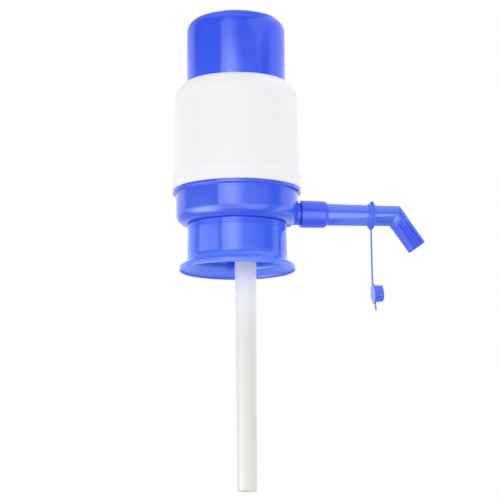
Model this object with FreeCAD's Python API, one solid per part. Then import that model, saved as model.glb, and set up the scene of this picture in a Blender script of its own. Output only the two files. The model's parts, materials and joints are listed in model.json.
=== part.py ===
import FreeCAD, Part
import math
import os

# Hand pump for a large drinking-water jug with a 55 mm crown neck.
# Units: millimetres.  +Z is up, +X is the direction the spout points.
# The origin is the centre of the jug-rim seat (the gasket's underside), on the
# axis of the pump, so everything above the jug rim has a positive Z.

V = FreeCAD.Vector
ZAX = V(0, 0, 1)
XAX = V(1, 0, 0)

# ----------------------------------------------------------------------------
# driving dimensions
# ----------------------------------------------------------------------------
# jug neck and clamp
NECK_R = 27.5            # the jug's neck, 55 mm across
GASKET_R_IN, GASKET_R_OUT, GASKET_T = 21.5, 27.7, 1.95
STUB_R_IN, STUB_R_OUT, STUB_BOTTOM = 27.9, 29.0, -1.0
JAW_R_IN, JAW_R_OUT = 28.0, 28.9
JAW_TOP, JAW_BOTTOM = -1.45, -22.0
JAW_HOOK_R = 27.6        # the hooks' inner radius, just clear of the neck
JAW_SLOT_DEG = 9.0       # gap between neighbouring jaws
JAW_HINGE_R, JAW_BEAD_R, JAW_BEAD_LEN = 28.45, 0.40, 6.0
COLLAR_R_IN = 29.3
COLLAR_R_TOP, COLLAR_R_LOW = 30.8, 31.35
COLLAR_TOP, COLLAR_BOTTOM = 1.65, -27.05
COLLAR_FLANGE_R = 36.1
COLLAR_TRAVEL = 8.0
COLLAR_LIP = 1.05         # wall of the flange's lip

# pump body (lower housing)
BODY_BOTTOM = 1.95
BODY_FLOOR_TOP = 4.4
BODY_R = 38.0
BODY_FILLET = 6.1
BODY_R_IN = 34.3
LEDGE_Z = 21.5           # the valve plate rests here
LIP_R, LIP_Z0, LIP_Z1 = 39.9, 21.2, 23.4
SPIGOT_R_OUT, SPIGOT_R_IN, SPIGOT_TOP = 37.75, 35.6, 33.0

# barrel (white sleeve)
SKIRT_R, SKIRT_TOP = 39.95, 33.4
BARREL_R_LOW, BARREL_R_HIGH = 38.9, 38.2
BARREL_IN_LOW, BARREL_IN_HIGH = 37.3, 36.5
BARREL_CORNER_Z, BARREL_CORNER_FILLET = 86.6, 8.0
BARREL_LEDGE_Z = 85.3
BARREL_RIM_R, BARREL_RIM_IN, BARREL_TOP = 32.1, 31.3, 91.2

# press cap
CAP_R_LOW, CAP_R_HIGH = 30.9, 30.75
CAP_WALL = 1.7
CAP_STRAIGHT_TOP = 124.4
CAP_FILLET = 8.5
CAP_SLOPE_DEG = 22.0     # slope of the crown where it meets the edge round
CAP_FLANGE_R = 35.0
CAP_FLANGE_Z0, CAP_FLANGE_Z1 = 83.0, 85.0
CAP_TRAVEL = 30.0

# valve plate, bellows and spring
PLATE_R, PLATE_T = 35.3, 2.0
BEL_R_OUT, BEL_R_IN, BEL_WALL = 28.4, 22.6, 1.1
BEL_FLANGE_T = 1.2
TOP_PLATE_R, TOP_PLATE_T = 34.0, 2.5
SPRING_R, SPRING_WIRE = 14.0, 1.6
CLAMP_RING_T = 2.5
SCREW_R, SCREW_HEAD_R, SCREW_HEAD_H = 1.3, 2.5, 1.7
SCREW_PCR = 31.9
N_SCREWS = 4

# dip tube
TUBE_X = 5.14
TUBE_R_TOP, TUBE_R_LOW = 6.75, 6.10
TUBE_WALL = 1.2
TUBE_TOP, TUBE_BOTTOM = 1.0, -162.6
TUBE_END_LEN = 16.0      # straight, untapered end for an extension tube
SOCKET_R, SOCKET_BOTTOM = 9.2, -13.0

# spout
SPOUT_Z = 9.5
BORE_R = 4.7
CHANNEL_R = 6.5
BOSS_R, BOSS_X0, BOSS_X1 = 8.3, 31.25, 35.0
BOSS_ROUND = 2.6
SHOULDER_R, SHOULDER_X1 = 7.0, 39.2      # plain part of the nipple before its thread
NIPPLE_R, NIPPLE_ROOT_R, NIPPLE_END = 6.9, 6.3, 49.0
WASHER_T = 1.4
NUT_X0, NUT_X1 = 39.6, 56.6
NUT_R_LEFT, NUT_R_RIGHT = 8.55, 8.4
PIPE_R0, PIPE_R1 = 6.9, 6.45
PIPE_FLANGE_R = 7.3
ELBOW_X = 100.08
LEG_ANGLE = 54.5         # degrees below horizontal
LEG_LEN = 24.35
OUTLET_R, OUTLET_LEN = 6.25, 18.45        # straight end that a hose pushes over
OUTLET_EDGE = 0.45                        # rounding of its outer edge
OUTLET_BORE_R, OUTLET_BORE_LEN = 5.4, 17.0
RING_X0, RING_STEP_X, RING_X1 = 82.7, 85.1, 86.7
RING_R_IN, RING_R_BAND, RING_R_BEAD = 6.67, 7.15, 7.75
LUG_X, LUG_W, LUG_TOP_R = 85.5, 2.6, 8.9
STRAP_X = 84.85
STRAP_T, STRAP_W = 0.75, 1.9
FLEX_TOP_Z, FLEX_LOW_Z = 0.0, -32.6      # the two flex lines
STRAP_STRAIGHT_Z = -14.0                 # the strap curves below this height
STRAP_DRIFT = 0.25                       # how far its lower end swings towards +X
FLEX_GAP = 0.06          # between the strap and its neighbours at a flex line
CAP_DISC_R, CAP_DISC_T = 6.4, 1.1
CAP_DISC_Z = -40.1
DUST_CAP_TILT = 5.5      # degrees, its foot towards +X
PLUG_R, PLUG_LEN = 5.3, 5.1
TAB_BOTTOM = -50.5
TAB_T, TAB_W = 0.7, 2.2


# ----------------------------------------------------------------------------
# helpers
# ----------------------------------------------------------------------------
def profile_wire(points, place):
    """Closed wire through points (a, b[, fillet radius]).  place maps (a, b)
    to a 3-D point.  A corner with a radius becomes a tangent arc."""
    n = len(points)
    starts, ends, arcs = [], [], []
    for i in range(n):
        p = points[i]
        r = p[2] if len(p) > 2 else 0.0
        a = points[(i - 1) % n]
        b = points[(i + 1) % n]
        if r <= 0:
            starts.append((p[0], p[1]))
            ends.append((p[0], p[1]))
            arcs.append(None)
            continue
        ux, uy = a[0] - p[0], a[1] - p[1]
        wx, wy = b[0] - p[0], b[1] - p[1]
        lu, lw = math.hypot(ux, uy), math.hypot(wx, wy)
        ux, uy, wx, wy = ux / lu, uy / lu, wx / lw, wy / lw
        half = math.acos(max(-1.0, min(1.0, ux * wx + uy * wy))) / 2.0
        d = r / math.tan(half)
        s = (p[0] + ux * d, p[1] + uy * d)
        e = (p[0] + wx * d, p[1] + wy * d)
        bx, by = ux + wx, uy + wy
        lb = math.hypot(bx, by)
        bx, by = bx / lb, by / lb
        cdist = r / math.sin(half)
        m = (p[0] + bx * (cdist - r), p[1] + by * (cdist - r))
        starts.append(s)
        ends.append(e)
        arcs.append(m)
    edges = []
    for i in range(n):
        if arcs[i] is not None:
            edges.append(Part.Arc(place(*starts[i]), place(*arcs[i]), place(*ends[i])).toShape())
        p, q = ends[i], starts[(i + 1) % n]
        if math.hypot(p[0] - q[0], p[1] - q[1]) > 1e-6:
            edges.append(Part.makeLine(place(*p), place(*q)))
    return Part.Wire(edges)


def lathe_z(points):
    """Solid of revolution about Z from points (r, z[, fillet])."""
    w = profile_wire(points, lambda r, z: V(r, 0, z))
    return Part.Face(w).revolve(V(0, 0, 0), ZAX, 360)


def lathe_x(points, zc=SPOUT_Z):
    """Solid of revolution about the line y = 0, z = zc from points (x, r[, fillet])."""
    w = profile_wire(points, lambda x, r: V(x, 0, zc + r))
    return Part.Face(w).revolve(V(0, 0, zc), XAX, 360)


def cyl(r, h, base, axis=ZAX):
    return Part.makeCylinder(r, h, base, axis)


def half_space(point, normal, size=300.0):
    """Big block on the positive side of a plane."""
    n = V(normal)
    n.normalize()
    box = Part.makeBox(size, size, size, V(-size / 2, -size / 2, 0))
    box.Placement = FreeCAD.Placement(point, FreeCAD.Rotation(ZAX, n))
    return box


def polar(r, deg, z=0.0):
    a = math.radians(deg)
    return V(r * math.cos(a), r * math.sin(a), z)


def clean(shape):
    s = shape.removeSplitter()
    if len(s.Solids) == 1:
        return s.Solids[0]
    return s


PARTS = {}


def keep(name, shape):
    shape = clean(shape)
    PARTS[name] = shape
    return shape


screw_angles = [45 + 360.0 / N_SCREWS * i for i in range(N_SCREWS)]

# ----------------------------------------------------------------------------
# pump body: cup with lip, spigot, neck stub, tube socket, water channel, nipple
# ----------------------------------------------------------------------------
body = lathe_z([
    (0.0, BODY_BOTTOM), (STUB_R_IN, BODY_BOTTOM), (STUB_R_IN, STUB_BOTTOM),
    (STUB_R_OUT, STUB_BOTTOM), (STUB_R_OUT, BODY_BOTTOM),
    (BODY_R, BODY_BOTTOM, BODY_FILLET), (BODY_R, LIP_Z0, 0.4), (LIP_R, LIP_Z0, 0.5),
    (LIP_R, LIP_Z1, 0.5), (SPIGOT_R_OUT, LIP_Z1), (SPIGOT_R_OUT, SPIGOT_TOP, 0.5),
    (SPIGOT_R_IN, SPIGOT_TOP), (SPIGOT_R_IN, LEDGE_Z), (BODY_R_IN, LEDGE_Z),
    (BODY_R_IN, BODY_FLOOR_TOP, 2.5), (0.0, BODY_FLOOR_TOP)])
# tube socket, going down into the jug's mouth and up to the channel
socket = cyl(SOCKET_R, 16.3 - SOCKET_BOTTOM, V(TUBE_X, 0, SOCKET_BOTTOM))
channel = cyl(CHANNEL_R, 36.5 - TUBE_X, V(TUBE_X, 0, SPOUT_Z), XAX)
boss = lathe_x([(28.0, 0), (28.0, BOSS_R), (BOSS_X1, BOSS_R, BOSS_ROUND), (BOSS_X1, 0)])
boss = boss.cut(cyl(BOSS_X0, 40.0, V(0, 0, BODY_BOTTOM - 40.0)))
boss = boss.cut(cyl(BODY_R_IN, 40.0, V(0, 0, BODY_FLOOR_TOP)))
thread = [(BOSS_X1 - 3.0, 0.0), (BOSS_X1 - 3.0, SHOULDER_R), (SHOULDER_X1, SHOULDER_R, 0.2),
          (SHOULDER_X1, NIPPLE_ROOT_R)]
x = SHOULDER_X1 + 0.9
while x + 1.4 < NIPPLE_END - 0.3:
    thread += [(x, NIPPLE_ROOT_R), (x + 0.5, NIPPLE_R), (x + 0.9, NIPPLE_R), (x + 1.4, NIPPLE_ROOT_R)]
    x += 2.5
thread += [(NIPPLE_END, NIPPLE_ROOT_R), (NIPPLE_END, 0.0)]
nipple = lathe_x(thread)
columns = [cyl(2.9, LEDGE_Z - BODY_FLOOR_TOP + 0.5, polar(SCREW_PCR, a, BODY_FLOOR_TOP - 0.5))
           for a in screw_angles]
body = body.fuse([socket, channel, boss, nipple] + columns)
# keep the columns inside the wall's outer face and below the ledge
body = body.cut(cyl(SPIGOT_R_IN, 5.0, V(0, 0, LEDGE_Z)))
# tube bore, shoulder, channel bore
body = body.cut(cyl(TUBE_R_TOP + 0.05, TUBE_TOP - SOCKET_BOTTOM + 0.05, V(TUBE_X, 0, SOCKET_BOTTOM)))
body = body.cut(cyl(BORE_R, SPOUT_Z - TUBE_TOP, V(TUBE_X, 0, TUBE_TOP)))
body = body.cut(cyl(BORE_R, NIPPLE_END - TUBE_X + 1.0, V(TUBE_X, 0, SPOUT_Z), XAX))
body = body.cut(Part.makeSphere(BORE_R, V(TUBE_X, 0, SPOUT_Z)))
# groove for the tube's seal
SEAL_Z = -7.0
body = body.cut(cyl(8.25, 1.7, V(TUBE_X, 0, SEAL_Z - 0.85)))
# holes that let air down into the jug
for a in (110, 180, 250):
    body = body.cut(cyl(2.2, 6.0, polar(16.0, a, BODY_BOTTOM - 1.0)))
# screw pilots
for a in screw_angles:
    body = body.cut(cyl(SCREW_R + 0.05, 12.0, polar(SCREW_PCR, a, LEDGE_Z - 11.0)))
keep("pump_body", body)

# ----------------------------------------------------------------------------
# barrel
# ----------------------------------------------------------------------------
keep("barrel", lathe_z([
    (SPIGOT_R_OUT + 0.2, LIP_Z1 + 0.02), (SKIRT_R, LIP_Z1 + 0.02, 0.4), (SKIRT_R, SKIRT_TOP, 0.6),
    (BARREL_R_LOW, SKIRT_TOP + 0.35, 0.3), (BARREL_R_HIGH, BARREL_CORNER_Z, BARREL_CORNER_FILLET),
    (BARREL_RIM_R, BARREL_TOP, 0.7), (BARREL_RIM_IN, BARREL_TOP, 0.35),
    (BARREL_RIM_IN, BARREL_LEDGE_Z), (BARREL_IN_HIGH, BARREL_LEDGE_Z, 1.0),
    (BARREL_IN_LOW, SPIGOT_TOP + 1.0), (SPIGOT_R_OUT + 0.2, SPIGOT_TOP + 0.6)]))

# ----------------------------------------------------------------------------
# press cap: straight wall, round edge, shallow domed crown, stop flange
# ----------------------------------------------------------------------------
def crown(r_out, z_top, fillet, slope_deg):
    """Points and arcs of the cap's edge round and domed crown, from the top of
    the straight wall to the axis.  Returns the edge list and the crown height."""
    phi = math.radians(slope_deg)
    te = math.pi / 2 - phi
    cr, cz = r_out - fillet, z_top
    p0 = (r_out, z_top)
    p1 = (cr + fillet * math.cos(te / 2), cz + fillet * math.sin(te / 2))
    p2 = (cr + fillet * math.cos(te), cz + fillet * math.sin(te))
    rd = p2[0] / math.sin(phi)
    zc = p2[1] - rd * math.cos(phi)
    p3 = (rd * math.sin(phi / 2), zc + rd * math.cos(phi / 2))
    p4 = (0.0, zc + rd)
    return p0, p1, p2, p3, p4


def pt(p):
    return V(p[0], 0, p[1])


o0, o1, o2, o3, o4 = crown(CAP_R_HIGH, CAP_STRAIGHT_TOP, CAP_FILLET, CAP_SLOPE_DEG)
CAP_TOP = o4[1]
i0, i1, i2, i3, i4 = crown(CAP_R_HIGH - CAP_WALL, CAP_STRAIGHT_TOP, CAP_FILLET - CAP_WALL, CAP_SLOPE_DEG)
cap_in_low = CAP_R_LOW - CAP_WALL
cap_edges = [
    Part.makeLine(V(cap_in_low, 0, CAP_FLANGE_Z0), V(CAP_FLANGE_R, 0, CAP_FLANGE_Z0)),
    Part.makeLine(V(CAP_FLANGE_R, 0, CAP_FLANGE_Z0), V(CAP_FLANGE_R, 0, CAP_FLANGE_Z1)),
    Part.makeLine(V(CAP_FLANGE_R, 0, CAP_FLANGE_Z1), V(CAP_R_LOW, 0, CAP_FLANGE_Z1)),
    Part.makeLine(V(CAP_R_LOW, 0, CAP_FLANGE_Z1), pt(o0)),
    Part.Arc(pt(o0), pt(o1), pt(o2)).toShape(),
    Part.Arc(pt(o2), pt(o3), pt(o4)).toShape(),
    Part.makeLine(pt(o4), pt(i4)),
    Part.Arc(pt(i4), pt(i3), pt(i2)).toShape(),
    Part.Arc(pt(i2), pt(i1), pt(i0)).toShape(),
    Part.makeLine(pt(i0), V(cap_in_low, 0, CAP_FLANGE_Z0)),
]
cap = Part.Face(Part.Wire(cap_edges)).revolve(V(0, 0, 0), ZAX, 360)
# breather holes, hidden inside the barrel's rim at rest
for a in (0, 120, 240):
    cap = cap.cut(cyl(1.2, 8.0, polar(26.0, a, 88.6), polar(1.0, a)))
# blind pilots for the plate screws, from below
for a in screw_angles:
    cap = cap.cut(cyl(SCREW_R + 0.05, 1.6, polar(SCREW_PCR, a, CAP_FLANGE_Z0)))
keep("press_cap", cap)

# ----------------------------------------------------------------------------
# valve plate with spring seat, air holes and the outlet valve
# ----------------------------------------------------------------------------
PLATE_Z0 = LEDGE_Z + 0.02
PLATE_Z1 = PLATE_Z0 + PLATE_T
RIB_R_IN, RIB_R_OUT = SPRING_R - 2.6, SPRING_R - 1.1
plate = lathe_z([(0, PLATE_Z0), (PLATE_R, PLATE_Z0), (PLATE_R, PLATE_Z1), (RIB_R_OUT, PLATE_Z1),
                 (RIB_R_OUT, PLATE_Z1 + 2.0), (RIB_R_IN, PLATE_Z1 + 2.0), (RIB_R_IN, PLATE_Z1), (0, PLATE_Z1)])
plate = plate.cut(cyl(1.65, 10, V(0, 0, PLATE_Z0 - 1)))
for k in range(6):
    plate = plate.cut(cyl(1.5, 10, polar(6.0, 60 * k, PLATE_Z0 - 1)))
for a in screw_angles:
    plate = plate.cut(cyl(SCREW_R + 0.1, 10, polar(SCREW_PCR, a, PLATE_Z0 - 1)))
keep("valve_plate", plate)


def umbrella(z_face, up):
    """Rubber umbrella valve: thin dish under the plate, stem and retaining bulb
    through it.  z_face is the plate face the dish seals on (its underside)."""
    t = PLATE_T if not up else TOP_PLATE_T
    return lathe_z([(0, z_face - 1.3), (3.0, z_face - 1.3), (9.0, z_face - 0.75), (9.0, z_face - 0.05),
                    (1.5, z_face - 0.05), (1.5, z_face + t + 0.05), (2.4, z_face + t + 0.05),
                    (1.9, z_face + t + 1.6), (0, z_face + t + 2.4)])


keep("outlet_valve", umbrella(PLATE_Z0, False))

# ----------------------------------------------------------------------------
# bellows: foot flange, five pleats, head flange (open through the middle)
# ----------------------------------------------------------------------------
BEL_Z0 = PLATE_Z1 + 0.02
TOP_PLATE_Z1 = CAP_FLANGE_Z0 - 0.02
TOP_PLATE_Z0 = TOP_PLATE_Z1 - TOP_PLATE_T
BEL_Z1 = TOP_PLATE_Z0 - 0.02
N_PLEATS = 5
z_lo = BEL_Z0 + BEL_FLANGE_T + 2.2
z_hi = BEL_Z1 - BEL_FLANGE_T - 2.2
pitch = (z_hi - z_lo) / N_PLEATS
outer = [(34.6, BEL_Z0), (34.6, BEL_Z0 + BEL_FLANGE_T), (BEL_R_IN + BEL_WALL, BEL_Z0 + BEL_FLANGE_T, 0.4),
         (BEL_R_IN + BEL_WALL, z_lo - 0.2, 0.3)]
for k in range(N_PLEATS):
    outer += [(BEL_R_OUT, z_lo + pitch * (k + 0.5), 0.9)]
    if k < N_PLEATS - 1:
        outer += [(BEL_R_IN + BEL_WALL, z_lo + pitch * (k + 1), 0.5)]
outer += [(BEL_R_IN + BEL_WALL, z_hi + 0.2, 0.3), (BEL_R_IN + BEL_WALL, BEL_Z1 - BEL_FLANGE_T, 0.4),
          (33.2, BEL_Z1 - BEL_FLANGE_T), (33.2, BEL_Z1)]
inner = [(BEL_R_IN, BEL_Z1), (BEL_R_IN, z_hi + 0.4, 0.4)]
for k in reversed(range(N_PLEATS)):
    inner += [(BEL_R_OUT - BEL_WALL * 1.25, z_lo + pitch * (k + 0.5), 0.5)]
    if k > 0:
        inner += [(BEL_R_IN, z_lo + pitch * k, 0.7)]
inner += [(BEL_R_IN, z_lo - 0.4, 0.4), (BEL_R_IN, BEL_Z0)]
bellows = lathe_z(outer + inner)
for a in screw_angles:
    bellows = bellows.cut(cyl(SCREW_R + 0.15, 3.0, polar(SCREW_PCR, a, BEL_Z0 - 1.0)))
    bellows = bellows.cut(cyl(SCREW_R + 0.15, 3.0, polar(SCREW_PCR, a, BEL_Z1 - 2.0)))
keep("bellows", bellows)

# clamp ring over the bellows' foot, held by four self-tapping screws
RING_Z0 = BEL_Z0 + BEL_FLANGE_T + 0.02
ring = lathe_z([(29.2, RING_Z0), (35.2, RING_Z0), (35.2, RING_Z0 + CLAMP_RING_T, 0.3),
                (29.2, RING_Z0 + CLAMP_RING_T, 0.3)])
for a in screw_angles:
    ring = ring.cut(cyl(SCREW_R + 0.1, 10, polar(SCREW_PCR, a, RING_Z0 - 1)))
keep("bellows_clamp_ring", ring)


def screws(z_head, down, length):
    out = []
    for a in screw_angles:
        s = -1.0 if down else 1.0
        c = polar(SCREW_PCR, a, z_head)
        head = Part.Face(profile_wire([(0, 0), (SCREW_HEAD_R, 0), (SCREW_HEAD_R, -s * 0.7),
                                       (SCREW_HEAD_R * 0.62, -s * SCREW_HEAD_H), (0, -s * SCREW_HEAD_H)],
                                      lambda r, z: V(r, 0, z))).revolve(V(0, 0, 0), ZAX, 360)
        shank = cyl(SCREW_R, length + 0.1, V(0, 0, -s * 0.1), V(0, 0, s))
        tip = Part.makeCone(SCREW_R, 0.3, 1.5, V(0, 0, s * (length - 0.0)), V(0, 0, s)) if down else None
        one = head.fuse([shank] + ([tip] if tip else []))
        slot = Part.makeBox(0.7, 3.4, 0.8, V(-0.35, -1.7, -s * SCREW_HEAD_H - 0.4))
        slot2 = Part.makeBox(3.4, 0.7, 0.8, V(-1.7, -0.35, -s * SCREW_HEAD_H - 0.4))
        one = one.cut([slot, slot2])
        one = clean(one)
        one.translate(c)
        out.append(one)
    return out


lower_screws = screws(RING_Z0 + CLAMP_RING_T + 0.02, True, 12.5)
PARTS["clamp_ring_screws"] = Part.makeCompound(lower_screws)

# ----------------------------------------------------------------------------
# top plate: closes the cap, carries the spring's upper end and the inlet valve
# ----------------------------------------------------------------------------
top_plate = lathe_z([(0, TOP_PLATE_Z0), (RIB_R_IN, TOP_PLATE_Z0), (RIB_R_IN, TOP_PLATE_Z0 - 2.0),
                     (RIB_R_OUT, TOP_PLATE_Z0 - 2.0), (RIB_R_OUT, TOP_PLATE_Z0),
                     (TOP_PLATE_R, TOP_PLATE_Z0), (TOP_PLATE_R, TOP_PLATE_Z1), (0, TOP_PLATE_Z1)])
top_plate = top_plate.cut(cyl(1.65, 10, V(0, 0, TOP_PLATE_Z0 - 3)))
for k in range(6):
    top_plate = top_plate.cut(cyl(1.5, 10, polar(6.0, 60 * k, TOP_PLATE_Z0 - 3)))
for a in screw_angles:
    top_plate = top_plate.cut(cyl(SCREW_R + 0.1, 10, polar(SCREW_PCR, a, TOP_PLATE_Z0 - 1)))
keep("bellows_top_plate", top_plate)
keep("inlet_valve", umbrella(TOP_PLATE_Z0, True))

HEAD_RING_Z1 = BEL_Z1 - BEL_FLANGE_T - 0.02
head_ring = lathe_z([(29.2, HEAD_RING_Z1 - 2.2), (34.2, HEAD_RING_Z1 - 2.2, 0.3), (34.2, HEAD_RING_Z1),
                     (29.2, HEAD_RING_Z1)])
for a in screw_angles:
    head_ring = head_ring.cut(cyl(SCREW_R + 0.1, 10, polar(SCREW_PCR, a, HEAD_RING_Z1 - 4)))
keep("bellows_head_ring", head_ring)
z_head = HEAD_RING_Z1 - 2.2 - 0.02
PARTS["top_plate_screws"] = Part.makeCompound(screws(z_head, False, CAP_FLANGE_Z0 + 1.5 - z_head))

# return spring: outer envelope of the coil, a thin tube one wire thick
SPRING_Z0, SPRING_Z1 = PLATE_Z1 + 0.02, TOP_PLATE_Z0 - 0.02
keep("return_spring", lathe_z([(SPRING_R - SPRING_WIRE / 2, SPRING_Z0), (SPRING_R + SPRING_WIRE / 2, SPRING_Z0),
                               (SPRING_R + SPRING_WIRE / 2, SPRING_Z1), (SPRING_R - SPRING_WIRE / 2, SPRING_Z1)]))

# ----------------------------------------------------------------------------
# jug neck: gasket, four clamp jaws, sliding lock collar
# ----------------------------------------------------------------------------
keep("neck_gasket", lathe_z([(GASKET_R_IN, 0), (GASKET_R_OUT, 0), (GASKET_R_OUT, GASKET_T - 0.02),
                             (GASKET_R_IN, GASKET_T - 0.02)]))

jaw_ring = lathe_z([(JAW_R_IN, JAW_TOP), (JAW_R_IN, JAW_BOTTOM + 3.6), (JAW_HOOK_R, JAW_BOTTOM + 2.6),
                    (JAW_HOOK_R, JAW_BOTTOM + 1.2), (JAW_R_IN, JAW_BOTTOM + 0.2), (JAW_R_IN + 0.2, JAW_BOTTOM),
                    (JAW_R_OUT - 0.3, JAW_BOTTOM), (JAW_R_OUT, JAW_BOTTOM + 0.4), (JAW_R_OUT, JAW_TOP)])
JAW_CENTRES = [45, 135, 225, 315]
for i, ang in enumerate(JAW_CENTRES):
    half = (90.0 - JAW_SLOT_DEG) / 2.0
    wedge_wire = Part.makePolygon([V(0, 0, JAW_BOTTOM - 2), polar(60, ang - half, JAW_BOTTOM - 2),
                                   polar(60, ang, JAW_BOTTOM - 2), polar(60, ang + half, JAW_BOTTOM - 2),
                                   V(0, 0, JAW_BOTTOM - 2)])
    wedge = Part.Face(wedge_wire).extrude(V(0, 0, JAW_TOP - JAW_BOTTOM + 4))
    # round bead at the middle of the top edge, which the jaw turns about
    tangent = V(-math.sin(math.radians(ang)), math.cos(math.radians(ang)), 0)
    bead = cyl(JAW_BEAD_R, JAW_BEAD_LEN, polar(JAW_HINGE_R, ang, JAW_TOP) - tangent * (JAW_BEAD_LEN / 2.0), tangent)
    keep("neck_jaw_%d" % (i + 1), jaw_ring.common(wedge).fuse(bead))

collar_pts = [(COLLAR_R_IN, COLLAR_TOP), (COLLAR_R_TOP, COLLAR_TOP, 0.35)]
for k in range(3):
    zg = COLLAR_TOP - 1.2 - 1.15 * k
    rr = COLLAR_R_TOP + (COLLAR_R_LOW - COLLAR_R_TOP) * (COLLAR_TOP - zg) / 21.0
    collar_pts += [(rr, zg + 0.25), (rr - 0.18, zg), (rr, zg - 0.25)]
collar_pts += [
    (COLLAR_R_LOW, COLLAR_BOTTOM + 6.25, 5.4), (COLLAR_FLANGE_R, COLLAR_BOTTOM + 2.8, 1.3),
    (COLLAR_FLANGE_R, COLLAR_BOTTOM, 0.5), (COLLAR_FLANGE_R - COLLAR_LIP, COLLAR_BOTTOM, 0.3),
    (COLLAR_FLANGE_R - COLLAR_LIP, COLLAR_BOTTOM + 1.7, 1.2), (COLLAR_R_IN, COLLAR_BOTTOM + 5.5, 3.0)]
keep("neck_collar", lathe_z(collar_pts))

# ----------------------------------------------------------------------------
# dip tube and its seal
# ----------------------------------------------------------------------------
z_end = TUBE_BOTTOM + TUBE_END_LEN
tube_pts = [(TUBE_R_TOP - TUBE_WALL, TUBE_TOP), (TUBE_R_TOP, TUBE_TOP), (TUBE_R_TOP, SOCKET_BOTTOM - 1.0),
            (TUBE_R_LOW, z_end), (TUBE_R_LOW, TUBE_BOTTOM, 0.5), (TUBE_R_LOW - TUBE_WALL, TUBE_BOTTOM),
            (TUBE_R_LOW - TUBE_WALL, z_end), (TUBE_R_TOP - TUBE_WALL, SOCKET_BOTTOM - 1.0)]
tube = lathe_z(tube_pts)
tube.translate(V(TUBE_X, 0, 0))
keep("dip_tube", tube)

seal = Part.makeTorus(TUBE_R_TOP + 0.05 + 0.72, 0.70, V(TUBE_X, 0, SEAL_Z), ZAX)
keep("tube_seal", seal)

# ----------------------------------------------------------------------------
# spout: washer, union nut, elbowed tube
# ----------------------------------------------------------------------------
keep("spout_seal", lathe_x([(NIPPLE_END + 0.02, BORE_R + 0.1), (NIPPLE_END + 0.02, 6.6),
                            (NIPPLE_END + WASHER_T, 6.6), (NIPPLE_END + WASHER_T, BORE_R + 0.1)]))

FLANGE_X0 = NIPPLE_END + WASHER_T + 0.08
FLANGE_X1 = FLANGE_X0 + 2.4
nut_pts = [V(NUT_X0, 0, SPOUT_Z + 7.05), V(NUT_X0, 0, SPOUT_Z + NUT_R_LEFT - 0.35),
           V(NUT_X0 + 0.35, 0, SPOUT_Z + NUT_R_LEFT), V(NUT_X1 - 2.6, 0, SPOUT_Z + NUT_R_RIGHT)]
nut_edges = [Part.makeLine(nut_pts[0], nut_pts[1]), Part.makeLine(nut_pts[1], nut_pts[2]),
             Part.makeLine(nut_pts[2], nut_pts[3]),
             Part.Arc(nut_pts[3], V(NUT_X1 - 1.12, 0, SPOUT_Z + 8.05), V(NUT_X1, 0, SPOUT_Z + 7.05)).toShape()]
nut_in = [V(NUT_X1, 0, SPOUT_Z + 7.05), V(NUT_X1, 0, SPOUT_Z + PIPE_R0 + 0.12), V(FLANGE_X1 + 0.25, 0, SPOUT_Z + PIPE_R0 + 0.12),
          V(FLANGE_X1 + 0.25, 0, SPOUT_Z + 7.4), V(NIPPLE_END - 1.0, 0, SPOUT_Z + 7.4),
          V(NIPPLE_END - 1.4, 0, SPOUT_Z + 7.05), V(NUT_X0, 0, SPOUT_Z + 7.05)]
for p, q in zip(nut_in[:-1], nut_in[1:]):
    nut_edges.append(Part.makeLine(p, q))
keep("union_nut", Part.Face(Part.Wire(nut_edges)).revolve(V(0, 0, SPOUT_Z), XAX, 360))

leg = math.radians(LEG_ANGLE)
leg_dir = V(math.cos(leg), 0, -math.sin(leg))
elbow = V(ELBOW_X, 0, SPOUT_Z)
mitre_n = V(math.cos(leg / 2), 0, -math.sin(leg / 2))
TAPER_END = ELBOW_X - 7.0
run = lathe_x([(FLANGE_X0, 0), (FLANGE_X0, PIPE_FLANGE_R), (FLANGE_X1, PIPE_FLANGE_R), (FLANGE_X1, PIPE_R0),
               (NUT_X1 + 0.6, PIPE_R0), (TAPER_END, PIPE_R1), (ELBOW_X + 12, PIPE_R1), (ELBOW_X + 12, 0)])
run = run.cut(half_space(elbow, mitre_n))
drop = cyl(PIPE_R1, LEG_LEN + 12, elbow - leg_dir * 12, leg_dir)
drop = drop.common(half_space(elbow, mitre_n))
pipe = clean(run.fuse(drop))
# soften the outer corner of the mitre: trim the pipe to a slab whose outline
# follows the pipe's outer side with a rounded corner
mitre_out = V(math.sin(leg / 2), 0, math.cos(leg / 2))
corner = elbow + mitre_out * ((PIPE_R1 + 0.03) / math.cos(leg / 2))
far = corner + leg_dir * 60
slab = Part.Face(profile_wire([
    (ELBOW_X - 30, SPOUT_Z - 80), (ELBOW_X - 30, corner.z), (corner.x, corner.z, 3.2),
    (far.x, far.z), (far.x, SPOUT_Z - 80)], lambda a, b: V(a, -20, b))).extrude(V(0, 40, 0))
keep_all = half_space(V(ELBOW_X - 25, 0, 0), V(-1, 0, 0))
pipe = clean(pipe.common(slab.fuse(keep_all)))
bore_a = cyl(BORE_R, ELBOW_X + 12 - FLANGE_X0 + 1, V(FLANGE_X0 - 1, 0, SPOUT_Z), XAX).cut(half_space(elbow, mitre_n))
bore_b = cyl(BORE_R, LEG_LEN + 14, elbow - leg_dir * 12, leg_dir).common(half_space(elbow, mitre_n))
pipe = pipe.cut(bore_a.fuse(bore_b))
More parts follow.
